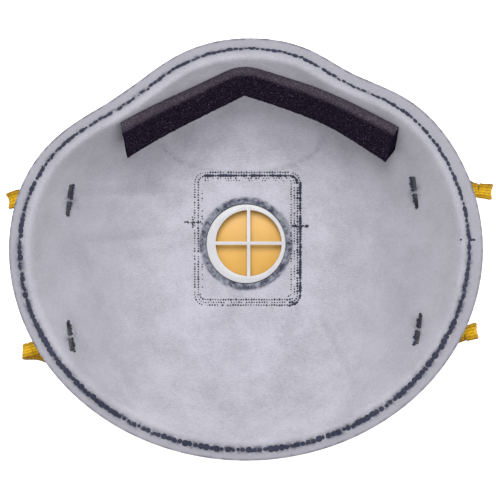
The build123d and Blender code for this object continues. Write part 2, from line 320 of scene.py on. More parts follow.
linerCloth = linerMaterial()
outerCloth = clothMaterial("outerWebCloth", (0.60, 0.61, 0.64), (0.74, 0.75, 0.78))[0]
shellCloth = clothMaterial("supportShellCloth", (0.68, 0.68, 0.68), (0.80, 0.80, 0.80))[0]
carbonCloth = clothMaterial("carbonCloth", (0.010, 0.012, 0.026), (0.035, 0.038, 0.062), sheen=0.05)[0]
foamCells = foamMaterial()
adhesiveFilm = hardMaterial("adhesiveFilm", (0.55, 0.50, 0.38), (0.68, 0.64, 0.52), 0.35, coat=0.3)
whitePlastic = hardMaterial("valvePlastic", (0.40, 0.395, 0.41), (0.45, 0.445, 0.455), 0.42)
yellowRubber = hardMaterial("flapRubber", (0.53, 0.285, 0.04), (0.58, 0.325, 0.062), 0.45)
satinAluminium = hardMaterial("satinAluminium", (0.66, 0.67, 0.69), (0.80, 0.80, 0.81), 0.34, metallic=1.0)
stapleSteel = hardMaterial("stapleSteel", (0.015, 0.015, 0.02), (0.20, 0.20, 0.22), 0.32, metallic=1.0,
                           grainScale=2600.0)
elasticBraid = elasticMaterial()
print("materials ready")


# camera, light and floor

def lookAt(piece, target, upward=Vector((0, 1, 0))):
    forward = (Vector(target) - piece.location).normalized()
    side = forward.cross(upward).normalized()
    turn = Matrix((side, side.cross(forward), -forward)).transposed()
    piece.rotation_euler = turn.to_euler()


def addCamera():
    settings = {"distance": 0.50, "rimHeight": 0.047, "frameWidth": 0.1428, "centre": (0.0006, 0.0003)}
    camera = bpy.data.cameras.new("camera")
    camera.sensor_width = 36.0
    camera.lens = camera.sensor_width * settings["distance"] / settings["frameWidth"]
    camera.clip_start = 0.01
    holder = bpy.data.objects.new("camera", camera)
    scene.collection.objects.link(holder)
    x, y = settings["centre"]
    holder.location = (x, y, settings["rimHeight"] + settings["distance"])
    lookAt(holder, (x, y, 0))
    scene.camera = holder


def addLights():
    lights = {
        "softKey": {"place": (-0.04, 0.30, 0.68), "size": 0.36, "watts": 5.2},
        "softFill": {"place": (0.45, -0.30, 0.50), "size": 0.60, "watts": 0.9},
    }
    for name, row in lights.items():
        light = bpy.data.lights.new(name, "AREA")
        light.size = row["size"]
        light.energy = row["watts"]
        holder = bpy.data.objects.new(name, light)
        scene.collection.objects.link(holder)
        holder.location = row["place"]
        lookAt(holder, (0, 0, 0.02))
    world = bpy.data.worlds.new("paleRoom")
    world.use_nodes = True
    world.node_tree.nodes["Background"].inputs["Color"].default_value = (0.97, 0.98, 1.0, 1)
    world.node_tree.nodes["Background"].inputs["Strength"].default_value = 0.80
    scene.world = world
    scene.view_settings.view_transform = "Standard"


def addFloor():
    size = 3.0
    material = bpy.data.materials.new("paleFloor")
    material.use_nodes = True
    shader = material.node_tree.nodes["Principled BSDF"]
    shader.inputs["Base Color"].default_value = (0.95, 0.95, 0.95, 1)
    shader.inputs["Roughness"].default_value = 0.8
    shader.inputs["Emission Color"].default_value = (1, 1, 1, 1)
    shader.inputs["Emission Strength"].default_value = 0.3
    corners = [(-size, -size, 0), (size, -size, 0), (size, size, 0), (-size, size, 0)]
    floor = addMesh("floor", corners, [(0, 1, 2, 3)], material, smooth=False)


addCamera()
addLights()
addFloor()
print("camera, lights and floor ready")


# the cup

rim = {
    "halfWidth": 67.6, "halfHeight": 61.0, "flange": 3.0,
    "shoulders": ((58.0, 3.5, 10.0), (130.0, 6.2, 15.0)),   # angle, depth, spread
}
valveHole = {"centre": (0.0, 1.6), "radius": 12.4, "pressedTo": 14.2}


def rimRadius(angle):
    a = math.radians(angle)
    radius = 1 / math.hypot(math.cos(a) / rim["halfWidth"], math.sin(a) / rim["halfHeight"])
    for centre, depth, spread in rim["shoulders"]:
        away = (angle - centre + 180) % 360 - 180
        radius -= depth * math.exp(-((away / spread) ** 2) / 2)
    return radius


def rimPoint(angle, inset=0.0):
    a = math.radians(angle)
    radius = rimRadius(angle) - inset
    return Vector((radius * math.cos(a), radius * math.sin(a)))


# how far the weld lies inside the cut rim: a little more at the right cheek
def weldInset(angle):
    return rim["flange"] + 0.8 * max(0.0, math.cos(math.radians(angle))) ** 2


def treeOf(nodeName):
    mesh = nodes[nodeName].data
    return BVHTree.FromPolygons([v.co for v in mesh.vertices], [p.vertices for p in mesh.polygons])


linerTree = treeOf("face_web")
outsideTree = treeOf("outer_web")


# height in mm of the cup's surface over a point in mm, or None
def rayHeight(tree, x, y, fromAbove=True):
    start = Vector((x * mm, y * mm, 0.09 if fromAbove else -0.02))
    hit = tree.ray_cast(start, Vector((0, 0, -1 if fromAbove else 1)))[0]
    return None if hit is None else hit.z / mm


# point on the liner and its unit normal, both in mm
def wallFrame(x, y):
    step = 1.5
    z = rayHeight(linerTree, x, y)
    dzdx = (rayHeight(linerTree, x + step, y) - rayHeight(linerTree, x - step, y)) / (2 * step)
    dzdy = (rayHeight(linerTree, x, y + step) - rayHeight(linerTree, x, y - step)) / (2 * step)
    return Vector((x, y, z)), Vector((-dzdx, -dzdy, 1)).normalized()


# middle of a staple's folded tips in plan, and their lean in degrees
def stapleTips(place):
    points = [v.co / mm for v in nodes["staple_" + place].data.vertices]
    centre = sum(points, Vector()) / len(points)
    normal = wallFrame(centre.x, centre.y)[1]
    deepest = max(p.dot(normal) for p in points)
    tips = [p for p in points if p.dot(normal) > deepest - 0.7]
    high, low = max(tips, key=lambda p: p.y), min(tips, key=lambda p: p.y)
    return ((high.x + low.x) / 2, (high.y + low.y) / 2), math.degrees(math.atan2(high.x - low.x,
                                                                                 high.y - low.y))


stapleSpots = {place: stapleTips(place) for place in ("upper_left", "upper_right", "lower_left",
                                                      "lower_right")}
print("staple spots", stapleSpots)


# heights over a ring-shaped grid, with faceting smoothed out
def gridHeights(tree, rows, columns, place, fromAbove, rounds):
    heights = []
    for i in range(rows):
        line = []
        for j in range(columns):
            x, y = place(i, j)
            line.append(rayHeight(tree, x, y, fromAbove))
        heights.append(line)
    for j in range(columns):
        for i in list(range(rows // 2, rows)):
            if heights[i][j] is None:
                heights[i][j] = heights[i - 1][j]
        for i in range(rows // 2, -1, -1):
            if heights[i][j] is None:
                heights[i][j] = heights[i + 1][j]
    for _ in range(rounds):
        fresh = []
        for i in range(rows):
            up, here, down = heights[max(i - 1, 0)], heights[i], heights[min(i + 1, rows - 1)]
            fresh.append([
                (2 * here[j] + here[j - 1] + here[(j + 1) % columns] + 0.5 * (up[j] + down[j])) / 5
                for j in range(columns)])
        heights = fresh
    return heights


def distanceToSegment(x, y, a, b):
    ax, ay = a
    bx, by = b
    length2 = (bx - ax) ** 2 + (by - ay) ** 2
    t = min(1.0, max(0.0, ((x - ax) * (bx - ax) + (y - ay) * (by - ay)) / length2))
    return math.hypot(x - ax - t * (bx - ax), y - ay - t * (by - ay))


# small shapes in the liner, in mm, towards the wearer
def linerRelief(x, y, fromRim, weldAt):
    relief = {
        "loft": 0.34, "lump": 0.07, "lumpSize": 7.0, "fuzz": 0.045, "fuzzSize": 0.9,
        "weld": -0.17, "weldWidth": 1.5, "arc": -0.26, "arcWidth": 0.7,
        "creases": (((-37.0, -29.6), (-8.0, -29.0), -0.3, 0.9), ((22.5, -22.0), (31.0, -39.0), -0.32, 1.0),
                    ((48.0, -31.0), (50.0, -39.0), 0.3, 0.7), ((-48.0, 16.0), (-24.0, 17.2), -0.32, 1.3),
                    ((-48.0, 2.0), (-22.0, 4.0), -0.34, 1.4), ((-46.0, -10.0), (-27.0, -11.5), -0.2, 1.6),
                    ((38.0, 3.2), (62.0, 3.0), -0.14, 0.8), ((33.0, 21.0), (50.0, 8.0), -0.28, 3.2),
                    ((-12.0, 33.0), (-26.0, 24.0), 0.3, 2.6), ((12.0, -24.0), (20.0, -33.0), 0.22, 1.0)),
    }
    z = relief["loft"] + relief["lump"] * noise.noise(Vector((x, y, 3.0)) / relief["lumpSize"])
    z += relief["fuzz"] * noise.fractal(Vector((x, y, 7.0)) / relief["fuzzSize"], 1.0, 2.0, 3)
    z += relief["weld"] * bump1(fromRim, weldAt, relief["weldWidth"])
    # moulded arc under the nose foam
    ring = math.hypot((x + 1.4) / 24.4, (y - 33.5) / 10.2)
    z += relief["arc"] * bump1((ring - 1) * 12, 0.0, relief["arcWidth"]) * blend01(36.0, 30.0, y)
    z += 0.10 * blend01(1.0, 0.6, ring)
    for a, b, depth, width in relief["creases"]:
        away = distanceToSegment(x, y, a, b) / width
        if away < 5:
            z += depth * (bump1(away, 0.0, 1.0) - 0.45 * bump1(away, 2.1, 1.1))
    for (sx, sy), _ in stapleSpots.values():
        z -= 0.16 * bump1(math.hypot(x - sx, (y - sy) * 0.45), 0.0, 1.9)
    return z


# one web of the cup as a closed sheet, from the edge of the valve's hole to the cut rim
def makeCupSkin(name, tree, material, fromAbove, grid):
    rows, columns, thickness = grid["rows"], grid["columns"], grid["thickness"]
    flangeRows = grid["flangeRows"]
    hx, hy = valveHole["centre"]

    def place(i, j):
        angle = 360 * j / columns
        a = math.radians(angle)
        inner = Vector((hx + valveHole["radius"] * math.cos(a), hy + valveHole["radius"] * math.sin(a)))
        weld, edge = rimPoint(angle, rim["flange"] + 1.2), rimPoint(angle)
        if i < rows - flangeRows:
            return inner.lerp(weld, i / (rows - flangeRows))
        return weld.lerp(edge, (i - rows + flangeRows) / (flangeRows - 1))

    heights = gridHeights(tree, rows, columns, place, fromAbove, grid["smoothing"])
    verts, carbonAndShade, flange, pressed = [], [], [], []
    for i in range(rows):
        for j in range(columns):
            x, y = place(i, j)
            angle = math.degrees(math.atan2(y, x))
            fromRim = rimRadius(angle) - math.hypot(x, y)
            fromHole = math.hypot(x - hx, y - hy)
            weldAt = weldInset(angle)
            z = heights[i][j]
            if fromAbove:
                z += linerRelief(x, y, fromRim, weldAt)
                z -= 0.26 * bump1(fromHole, valveHole["radius"] + 0.6, 1.1)
            else:
                z += 0.12 * noise.noise(Vector((x, y, 9.0)) / 6.0) + 0.22 * bump1(fromRim, rim["flange"], 0.8)
            verts.append((x * mm, y * mm, z * mm))
            ragged = 0.25 * noise.noise(Vector((x, y, 21.0)) / 1.3)
            ring = 1 - blend01(valveHole["pressedTo"] - 0.35, valveHole["pressedTo"] + 0.1, fromHole + ragged)
            heavy = 1 - blend01(-20.0, 25.0, y) * (0.55 if x > 0 else 0.35)
            weldStain = 1.05 * heavy * bump1(fromRim, weldAt, 0.95 * heavy)
            bluePatch = 0.8 * bump1(fromRim, weldAt, 1.1) * bump1(y, -2.0, 4.0) * (1 if x < 0 else 0)
            # painted shade: the liner darkens in the dents round each staple's folded tips
            stapleShade = sum(0.5 * bump1(math.hypot(x - sx, (y - sy) * 0.5), 0, 1.5) for (sx, sy),
                        _ in stapleSpots.values())
            # painted shade: a dark line along the cut rim, stronger towards the top
            rimEdgeShade = blend01(0.55, 0.15, fromRim) * max(0.62,
                                                           0.8 * blend01(-0.2, 0.5, y / rim["halfHeight"]))
            ringEdge = 0.75 * bump1(fromHole, valveHole["pressedTo"] - 0.15, 0.35)
            # painted shade: a dark line along the moulded arc's crease under the nose foam
            arc = math.hypot((x + 1.4) / 24.4, (y - 33.5) / 10.2)
            arcCreaseShade = 0.2 * bump1((arc - 1) * 12, 0.0, 0.6) * blend01(36.0, 30.0, y)
            # dark mask: the weld line and the hole's pressed edge, plus the painted shade above
            carbonAndShade.append(min(1.0, max(weldStain, stapleShade, rimEdgeShade, arcCreaseShade, ringEdge)))
            pressed.append(max(ring, bluePatch))
            # painted shade: the cup's side walls are darkened towards the flange tone
            sideWallShade = 0.5 * blend01(24.0, 46.0, abs(x))
            flange.append(max(sideWallShade, blend01(weldAt + 4.5, weldAt - 0.5, fromRim)))
    count = rows * columns
    back = -thickness if fromAbove else thickness
    verts += [(x, y, z + back * mm) for x, y, z in verts]
    faces = []
    for i in range(rows - 1):
        for j in range(columns):
            k = (j + 1) % columns
            a, b, c, d = i * columns + j, i * columns + k, (i + 1) * columns + k, (i + 1) * columns + j
            faces.append((a, d, c, b))
            faces.append((a + count, b + count, c + count, d + count))
    for j in range(columns):
        k = (j + 1) % columns
        last = (rows - 1) * columns
        faces.append((j, k, k + count, j + count))
        faces.append((last + k, last + j, last + j + count, last + k + count))
    piece = addMesh(name, verts, faces, material)
    for label, values in (("carbonAndShade", carbonAndShade), ("flange", flange), ("pressed", pressed)):
        layer = piece.data.attributes.new(label, "FLOAT", "POINT")
        layer.data.foreach_set("value", values + values)
    if not fromAbove:
        piece.data.flip_normals()
    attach(piece, "cup")
    return piece


faceLiner = makeCupSkin("faceLiner", linerTree, linerCloth, True,
                        {"rows": 104, "columns": 450, "flangeRows": 12, "thickness": 0.22, "smoothing": 5})
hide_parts("face_web")
outerCover = makeCupSkin("outerCover", outsideTree, outerCloth, False,
                         {"rows": 72, "columns": 320, "flangeRows": 8, "thickness": 0.2, "smoothing": 5})
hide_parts("outer_web")
print("cup skins made")


# pressed weld marks

# small pressed marks set along a line
def makeMarkTree():
    tree = bpy.data.node_groups.new("pressedMarks", "GeometryNodeTree")
    tree.interface.new_socket("Geometry", in_out="INPUT", socket_type="NodeSocketGeometry")
    sizes = [("Pitch", 0.002), ("Length", 0.001), ("Width", 0.001), ("Height", 0.0003), ("Scatter", 0.0001),
             ("Share", 1.0), ("Unevenness", 0.3)]
    for label, value in sizes:
        socket = tree.interface.new_socket(label, in_out="INPUT", socket_type="NodeSocketFloat")
        socket.default_value = value
    tree.interface.new_socket("Seed", in_out="INPUT", socket_type="NodeSocketInt").default_value = 1
    tree.interface.new_socket("Finish", in_out="INPUT", socket_type="NodeSocketMaterial")
    tree.interface.new_socket("Geometry", in_out="OUTPUT", socket_type="NodeSocketGeometry")
    source, sink = tree.nodes.new("NodeGroupInput"), tree.nodes.new("NodeGroupOutput")

    def add(kind, **links):
        node = tree.nodes.new(kind)
        for key, value in links.items():
            socket = node.inputs[key.replace("_", " ")]
            if isinstance(value, (int, float, tuple)):
                socket.default_value = value
            else:
                tree.links.new(value, socket)
        return node

    line = add("GeometryNodeMeshToCurve", Mesh=source.outputs["Geometry"])
    spaced = tree.nodes.new("GeometryNodeResampleCurve")
    spaced.mode = "LENGTH"
    tree.links.new(line.outputs[0], spaced.inputs["Curve"])
    tree.links.new(source.outputs["Pitch"], spaced.inputs["Length"])
    tangent = add("GeometryNodeInputTangent")
    turn = add("FunctionNodeAlignEulerToVector", Vector=tangent.outputs[0])
    turn.axis = "X"
    cube = add("GeometryNodeMeshCube", Size=(1.0, 1.0, 1.0))
    rounded = add("GeometryNodeSubdivisionSurface", Mesh=cube.outputs["Mesh"], Level=2)
    size = add("ShaderNodeCombineXYZ", X=source.outputs["Length"], Y=source.outputs["Width"],
               Z=source.outputs["Height"])
    uneven = add("FunctionNodeRandomValue", Seed=source.outputs["Seed"])
    uneven.data_type = "FLOAT"
    low = tree.nodes.new("ShaderNodeMath")
    low.operation = "SUBTRACT"
    low.inputs[0].default_value = 1.0
    tree.links.new(source.outputs["Unevenness"], low.inputs[1])
    high = tree.nodes.new("ShaderNodeMath")
    high.inputs[0].default_value = 1.0
    tree.links.new(source.outputs["Unevenness"], high.inputs[1])
    tree.links.new(low.outputs[0], uneven.inputs[2])
    tree.links.new(high.outputs[0], uneven.inputs[3])
    scaled = tree.nodes.new("ShaderNodeVectorMath")
    scaled.operation = "SCALE"
    tree.links.new(size.outputs[0], scaled.inputs[0])
    tree.links.new(uneven.outputs[1], scaled.inputs["Scale"])
    kept = tree.nodes.new("FunctionNodeRandomValue")
    kept.data_type = "BOOLEAN"
    tree.links.new(source.outputs["Share"], kept.inputs["Probability"])
    tree.links.new(source.outputs["Seed"], kept.inputs["Seed"])
    points = tree.nodes.new("GeometryNodeInstanceOnPoints")
    tree.links.new(spaced.outputs[0], points.inputs["Points"])
    tree.links.new(rounded.outputs[0], points.inputs["Instance"])
    tree.links.new(kept.outputs[3], points.inputs["Selection"])
    tree.links.new(turn.outputs[0], points.inputs["Rotation"])
    tree.links.new(scaled.outputs[0], points.inputs["Scale"])
    shift = tree.nodes.new("FunctionNodeRandomValue")
    shift.data_type = "FLOAT_VECTOR"
    shift.inputs[0].default_value = (-1, -1, -0.2)
    shift.inputs[1].default_value = (1, 1, 0.2)
    tree.links.new(source.outputs["Seed"], shift.inputs["Seed"])
    moved = tree.nodes.new("ShaderNodeVectorMath")
    moved.operation = "SCALE"
    tree.links.new(shift.outputs[0], moved.inputs[0])
    tree.links.new(source.outputs["Scatter"], moved.inputs["Scale"])
    placed = tree.nodes.new("GeometryNodeTranslateInstances")
    tree.links.new(points.outputs[0], placed.inputs["Instances"])
    tree.links.new(moved.outputs[0], placed.inputs["Translation"])
    placed.inputs["Local Space"].default_value = False
    real = add("GeometryNodeRealizeInstances", Geometry=placed.outputs[0])
    finished = add("GeometryNodeSetMaterial", Geometry=real.outputs[0], Material=source.outputs["Finish"])
    tree.links.new(finished.outputs[0], sink.inputs[0])
    return tree


markTree = makeMarkTree()


# a line of edges lying on the liner, from plan points in mm
def surfaceLine(points, closed, lift):
    verts = []
    for x, y in points:
        height = skinTree.ray_cast(Vector((x * mm, y * mm, 0.09)), Vector((0, 0, -1)))[0]
        verts.append((x * mm, y * mm, (height.z if height else 0.0) + lift * mm))
    edges = [(k, k + 1) for k in range(len(verts) - 1)]
    if closed:
        edges.append((len(verts) - 1, 0))
    mesh = bpy.data.meshes.new("markLine")
    mesh.from_pydata(verts, edges, [])
    piece = bpy.data.objects.new("markLine", mesh)
    scene.collection.objects.link(piece)
    return piece


# mesh of one row of marks
def pressedMarks(points, closed, sizes, seed, lift=0.03):
    line = surfaceLine(points, closed, lift)
    modifier = line.modifiers.new("marks", "NODES")
    modifier.node_group = markTree
    values = {**{key: value * mm for key, value in sizes.items() if key not in ("Share", "Unevenness")},
              "Share": sizes.get("Share", 1.0), "Unevenness": sizes.get("Unevenness", 0.3),
              "Seed": seed, "Finish": carbonCloth}
    for item in markTree.interface.items_tree:
        if item.in_out == "INPUT" and item.name in values:
            modifier[item.identifier] = values[item.name]
    line.update_tag()
    bpy.context.view_layer.update()
    bakeModifiers(line)
    return line


def joinPieces(name, parts):
    bm = bmesh.new()
    for part in parts:
        bm.from_mesh(part.data)
        bpy.data.objects.remove(part)
    mesh = bpy.data.meshes.new(name)
    bm.to_mesh(mesh)
    bm.free()
    mesh.materials.append(carbonCloth)
    mesh.polygons.foreach_set("use_smooth", [True] * len(mesh.polygons))
    piece = bpy.data.objects.new(name, mesh)
    scene.collection.objects.link(piece)
    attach(piece, "cup")
    return piece


skinTree = BVHTree.FromPolygons([v.co for v in faceLiner.data.vertices],
                                [p.vertices for p in faceLiner.data.polygons])


def makeRimWeld():
    parts = []
    # the line is pressed hardest at the chin and the cheeks, and lightest beside the nose
    arcs = [(200, 342, 1.75, 1.0), (338, 400, 1.2, 0.97), (160, 203, 1.5, 0.99), (40, 82, 0.95, 0.88),
            (82, 112, 0.9, 0.85), (112, 160, 1.05, 0.92)]
    for number, (start, end, width, share) in enumerate(arcs):
        angles = [start + (end - start) * k / 90 for k in range(91)]
        points = [rimPoint(a % 360, weldInset(a)) for a in angles]
        parts.append(pressedMarks(points, False,
                                  {"Pitch": 1.55, "Length": 1.75, "Width": width, "Height": 0.34,
                                                  "Scatter": 0.16, "Share": share, "Unevenness": 0.35},
                                                  11 + number))
        parts.append(pressedMarks(points, False,
                                  {"Pitch": 1.13, "Length": 0.9, "Width": 0.6 * width, "Height": 0.3,
                                                  "Scatter": 0.34, "Share": 0.6 * share, "Unevenness": 0.5},
                                                  41 + number))
    # register mark at the right cheek
    cross = rimPoint(2.4, weldInset(2.4))
    for dx, dy in ((2.2, 0.0), (0.0, 1.8)):
        points = [(cross.x - dx, cross.y - dy), (cross.x + 0.6 * dx, cross.y + dy)]
        parts.append(pressedMarks(points, False, {"Pitch": 0.7, "Length": 0.9, "Width": 0.7, "Height": 0.3,
                                                  "Scatter": 0.08}, 71))
    return joinPieces("rimWeldMarks", parts)


# rows of fine dots over the edge of the valve's plate
def makePlateWeld():
    weld = {"middle": (0.45, 3.15), "halfWidth": 16.25, "halfLength": 20.45, "corner": 3.2, "pitch": 0.78,
            "height": 0.28}
    px, py = weld["middle"]
    # inset, share of the dots that took, and their size, for each row of a side
    sides = {
        90: [(0.0, 0.9, 0.62), (1.0, 1.0, 0.98), (1.8, 0.6, 0.54), (2.5, 0.4, 0.5)],
        0: [(0.0, 1.0, 0.98), (0.85, 0.95, 0.72), (1.8, 0.6, 0.5), (2.8, 0.75, 0.52)],
        270: [(0.0, 0.95, 0.6), (0.85, 0.85, 0.5), (1.7, 0.97, 0.64)],
        180: [(0.0, 0.9, 0.54), (1.1, 0.97, 0.6), (2.3, 0.5, 0.44)],
    }
    parts = []
    seed = 100
    for turn, rows in sides.items():
        out = Vector((round(math.cos(math.radians(turn))), round(math.sin(math.radians(turn)))))
        along = Vector((out.y, -out.x))
        reachOut, reachAlong = (weld["halfWidth"], weld["halfLength"]) if out.x else (weld["halfLength"],
                                                                                      weld["halfWidth"])
        for inset, share, dot in rows:
            h, w, r = reachOut - inset, reachAlong - inset, max(0.8, weld["corner"] - inset)
            points = [out * h - along * (w - r), out * h, out * h + along * (w - r)]
            for q in (22.5, 45.0, 67.5, 90.0):
                a = math.radians(q)
                points.append(out * (h - r + r * math.cos(a)) + along * (w - r + r * math.sin(a)))
            points = [(px + p.x, py + p.y) for p in points]
            dense = []
            for (x0, y0), (x1, y1) in zip(points, points[1:]):
                dense += [(x0 + (x1 - x0) * q / 6, y0 + (y1 - y0) * q / 6) for q in range(6)]
            seed += 1
            sizes = {"Pitch": weld["pitch"], "Length": dot, "Width": dot, "Height": weld["height"],
                     "Scatter": 0.05,
                     "Share": share, "Unevenness": 0.3}
            parts.append(pressedMarks(dense + points[-1:], False, sizes, seed))
    for middle, reach, dot in (((-16.4, 8.2), 2.4, 0.7), ((16.7, 7.0), 2.2, 1.05)):
        for dx, dy in ((reach, 0.0), (0.0, 1.5)):
            points = [(middle[0] - dx, middle[1] - dy), middle, (middle[0] + dx, middle[1] + dy)]
            sizes = {"Pitch": 0.6, "Length": dot, "Width": dot, "Height": 0.28, "Scatter": 0.15, "Share": 0.9,
                     "Unevenness": 0.3}
            parts.append(pressedMarks(points, False, sizes, seed + 7))
    return joinPieces("valveWeldMarks", parts)


# painted shadow: dark carbon-cloth dashes beside each staple's folded tips stand for the shade round the sunk
# legs
def makeStapleShadowMarks():
    parts = []
    for number, ((x, y), lean) in enumerate(stapleSpots.values()):
        a = math.radians(lean)
        for side in (-1, 1):
            points = [(x + side * reach * math.sin(a), y + side * reach * math.cos(a)) for reach in (0.8, 2.6,
                                                                                                     4.4)]
            parts.append(pressedMarks(points, False,
                                      {"Pitch": 0.75, "Length": 1.15, "Width": 2.0, "Height": 0.42,
                                                      "Scatter": 0.12, "Unevenness": 0.25}, 300 + number))
    return joinPieces("stapleShadowMarks", parts)


makeRimWeld()
makePlateWeld()
makeStapleShadowMarks()
print("weld marks made")


# nose foam

# places along the foam, each with its base on the wall, the normal there and how near it is to an end
def foamStations(foam):
    a, b, c = (Vector(p) for p in foam["route"])
    leftShare = (b - a).length / ((b - a).length + (c - b).length)
    rows = []
    for k in range(foam["stations"] + 1):
        s = k / foam["stations"]
        onLeft = s < leftShare
        arm = s / leftShare if onLeft else (s - leftShare) / (1 - leftShare)
        p = a.lerp(b, arm) if onLeft else b.lerp(c, arm)
        lean = (b - a if onLeft else c - b).normalized()
        p += Vector((-lean.y, lean.x)) * foam["bow"][0 if onLeft else 1] * 4 * arm * (1 - arm)
        normal = wallFrame(p.x, p.y)[1]
        base, normal = wallFrame(p.x - normal.x * foam["depth"] / 2, p.y - normal.y * foam["depth"] / 2)
        rows.append([base, normal, 1 - arm if onLeft else arm])
    for _ in range(14):  # ease the facets of the wall and the point of the V
        for column in (0, 1):
            old = [row[column].copy() for row in rows]
            for k in range(1, len(rows) - 1):
                rows[k][column] = (old[k - 1] + 2 * old[k] + old[k + 1]) / 4
    return rows


# closed outline through rounded corners, given as u, v and radius, with even steps
def roundedOutline(corners, step):
    outline = []
    for k, (u, v, r) in enumerate(corners):
        here = Vector((u, v))
        before = (Vector(corners[k - 1][:2]) - here).normalized() * r
        after = (Vector(corners[(k + 1) % len(corners)][:2]) - here).normalized() * r
        for q in range(7):
            t = q / 6
            outline.append(here + before * (1 - t) ** 2 + after * t ** 2)
    dense = []
    for p, q in zip(outline, outline[1:] + outline[:1]):
        pieces = max(1, round((q - p).length / step))
        dense += [p.lerp(q, n / pieces) for n in range(pieces)]
    return dense


# closed bar along the stations; also the place in its outline of each vertex
def sweptBar(name, stations, outline, material, widen=0.0, roughness=0.0, skew=(0, 0)):
    count, last = len(outline), len(stations) - 1
    verts, spots = [], []
    for k, (base, normal, nearEnd) in enumerate(stations):
        ahead = (stations[min(k + 1, last)][0] - stations[max(k - 1, 0)][0]).normalized()
        normal = (normal - ahead * normal.dot(ahead)).normalized()
        upSlope = ahead.cross(normal).normalized()
        if upSlope.z < 0:
            upSlope = -upSlope
        grow = 1 + widen * nearEnd
        slant = ahead * (skew[1] * max(0.0, 1 - (last - k) / 16) - skew[0] * max(0.0, 1 - k / 16))
        for spot in outline:
            p = base + (upSlope * spot.x + normal * spot.y) * (grow if spot.y > 0 else 1) + slant * spot.y
            p += normal * roughness * noise.fractal(p / 0.8, 1.0, 2.0, 3) * (1 if spot.y > 0.3 else 0)
            p += upSlope * roughness * noise.noise(p / 0.7 + Vector((9, 0, 0)))
            verts.append(p * mm)
            spots.append(spot)
    faces = []
    for k in range(last):
        for q in range(count):
            n = (q + 1) % count
            faces.append((k * count + q, k * count + n, (k + 1) * count + n, (k + 1) * count + q))
    for k, turned in ((0, True), (last, False)):
        ring = list(range(k * count, (k + 1) * count))
        middle = sum((verts[i] for i in ring), Vector()) / count
        rings = [ring]
        for shrink in (0.66, 0.33):
            fresh = [len(verts) + q for q in range(count)]
            for i in ring:
                p = middle.lerp(verts[i], shrink)
                verts.append(p + Vector((1, 1, 1)) * 1.5 * roughness * mm * noise.noise(p / mm / 0.7))
                spots.append(Vector((0, 0)))
            rings.append(fresh)
        verts.append(middle)
        spots.append(Vector((0, 0)))
        for outer, inner in zip(rings, rings[1:]):
            for q in range(count):
                n = (q + 1) % count
                face = (outer[q], outer[n], inner[n], inner[q])
                faces.append(face[::-1] if turned else face)
        for q in range(count):
            face = (rings[-1][q], rings[-1][(q + 1) % count], len(verts) - 1)
            faces.append(face[::-1] if turned else face)
    return addMesh(name, verts, faces, material), spots


def makeFoam():
    foam = {"route": ((-34.6, 32.7), (-0.9, 49.3), (42.4, 31.0)), "bow": (0.8, 2.2), "half": 4.2,
            "noseSide": 2.1,
            "depth": 5.4, "sink": 0.35, "stations": 150, "roughness": 0.15, "widen": 0.26,
            "skew": (0.5, 0.15)}
    half, sink = foam["half"], foam["sink"]
    stations = foamStations(foam)
    outline = roundedOutline([(half, -sink, 0.2), (half, foam["noseSide"], 0.9), (-half, foam["depth"], 1.2),
                              (-half, -sink, 0.2)], 0.55)
    piece, spots = sweptBar("noseFoam", stations, outline, foamCells, foam["widen"], foam["roughness"],
                            foam["skew"])
    # painted light: mask of the foam's upward cut side, lightened in its colour
    edge = [blend01(half - 1.5, half - 0.4, spot.x) for spot in spots]
    piece.data.attributes.new("litCutSide", "FLOAT", "POINT").data.foreach_set("value", edge)
    cleanNormals(piece)
    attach(piece, "cup")
    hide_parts("nose_foam")
    film = {"half": 2.3, "low": 0.02, "high": 0.2}
    outline = roundedOutline([(film["half"], film["low"], 0.05), (film["half"], film["high"], 0.05),
                              (-film["half"], film["high"], 0.05), (-film["half"], film["low"], 0.05)], 1.2)
    piece = sweptBar("foamFilm", stations[6:-6], outline, adhesiveFilm)[0]
    cleanNormals(piece)
    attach(piece, "cup")
    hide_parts("foam_adhesive")


makeFoam()
print("nose foam made")


# valve, clip and staples: the CAD shapes with moulded edges

# a copy of a CAD piece with rounded edges
def softened(nodeName, name, material, bevel, body="cup"):
    mesh = nodes[nodeName].data.copy()
    mesh.name = name
    bm = bmesh.new()
    bm.from_mesh(mesh)
    bmesh.ops.remove_doubles(bm, verts=bm.verts, dist=2e-6)
    bmesh.ops.dissolve_limit(bm, angle_limit=math.radians(1.0), verts=bm.verts, edges=bm.edges)
    bm.to_mesh(mesh)
    bm.free()
    mesh.materials.clear()
    mesh.materials.append(material)
    piece = bpy.data.objects.new(name, mesh)
    scene.collection.objects.link(piece)
    if bevel:
        modifier = piece.modifiers.new("edges", "BEVEL")
        modifier.width = bevel * mm
        modifier.segments = 3
        modifier.limit_method = "ANGLE"
        modifier.angle_limit = math.radians(35)
        bakeModifiers(piece)
    piece.data.polygons.foreach_set("use_smooth", [True] * len(piece.data.polygons))
    piece.data.set_sharp_from_angle(angle=math.radians(32))
    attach(piece, body)
    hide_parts(nodeName)
    return piece


softened("valve_seat", "valveSeat", whitePlastic, 0.18)
softened("valve_cover", "valveCover", whitePlastic, 0.18)
softened("exhale_flap", "exhaleFlap", yellowRubber, 0.08, "flap")
softened("flap_root", "flapRoot", yellowRubber, 0.0)
softened("nose_clip", "noseClip", satinAluminium, 0.15)
for place in stapleSpots:
    softened("staple_" + place, "staple_" + place.replace("_", "-"), stapleSteel, 0.1)
for nodeName, material in (("filter_web", outerCloth), ("support_shell", shellCloth),
                           ("carbon_web", carbonCloth),
                           ("clip_adhesive", adhesiveFilm)):
    nodes[nodeName].data.materials.clear()
    nodes[nodeName].data.materials.append(material)
print("valve, clip and staples made")


# headbands

